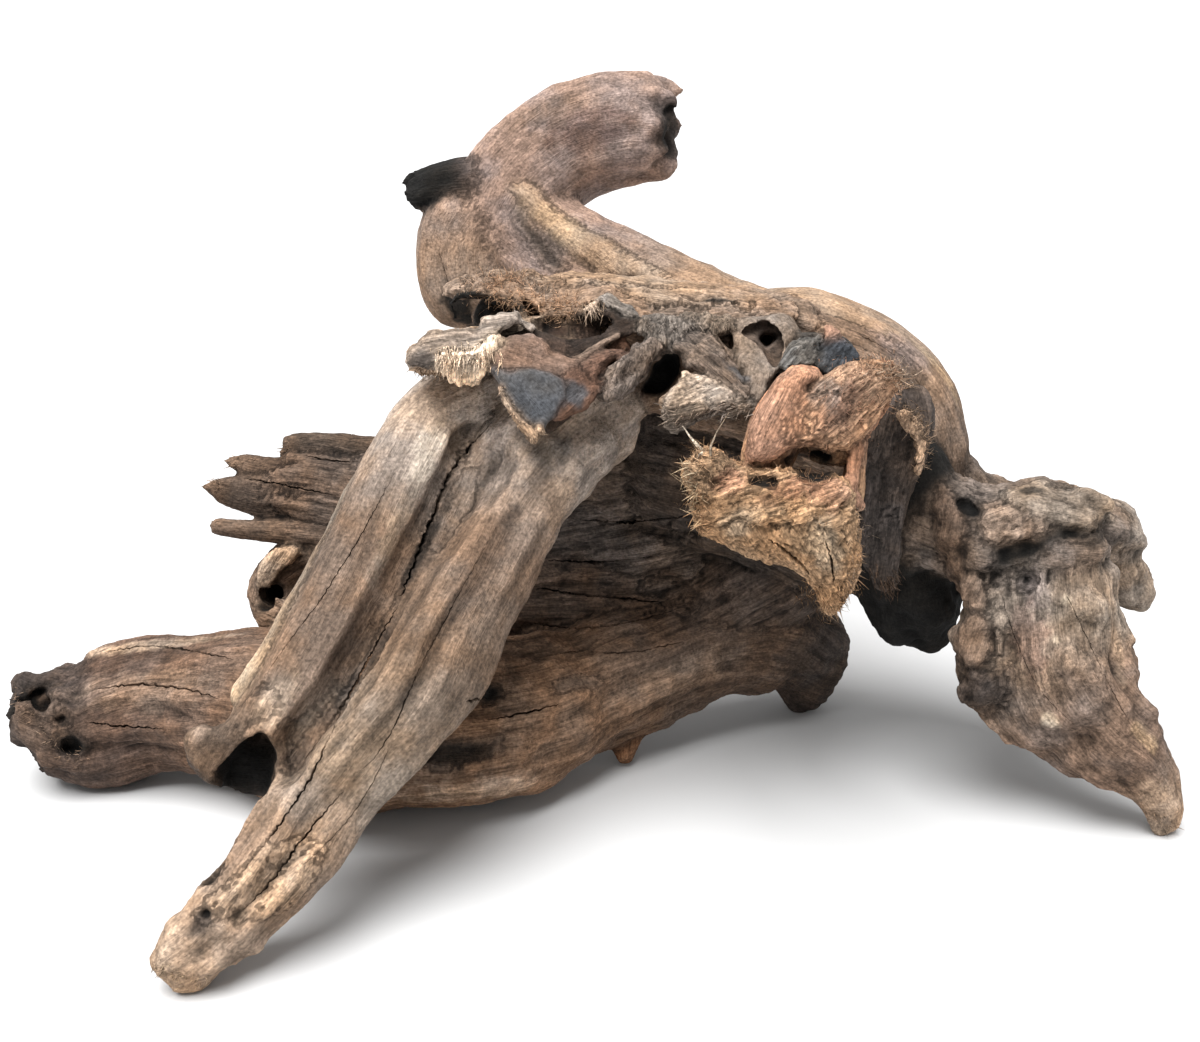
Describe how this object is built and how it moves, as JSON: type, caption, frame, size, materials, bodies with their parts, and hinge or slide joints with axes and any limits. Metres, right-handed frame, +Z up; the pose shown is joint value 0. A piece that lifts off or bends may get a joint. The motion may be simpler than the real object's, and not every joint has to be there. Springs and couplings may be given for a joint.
{
  "type": "piece of driftwood",
  "caption": "Weathered root crown with a split front leg, a floor log, a stubby right leg, a torn stub and a curved rear limb, as one solid",
  "frame": {"origin": "middle of the bounding box's bottom face, on the floor that the piece rests on", "axes": "+X to the right along the piece's length, +Y away from the side that the picture shows, +Z up"},
  "size_m": [0.3946, 0.2518, 0.2314],
  "materials": {
    "weathered_wood": "dry weathered wood, matte"
  },
  "bodies": {
    "root": {"driftwood": "weathered_wood"}
  },
  "joints": []
}
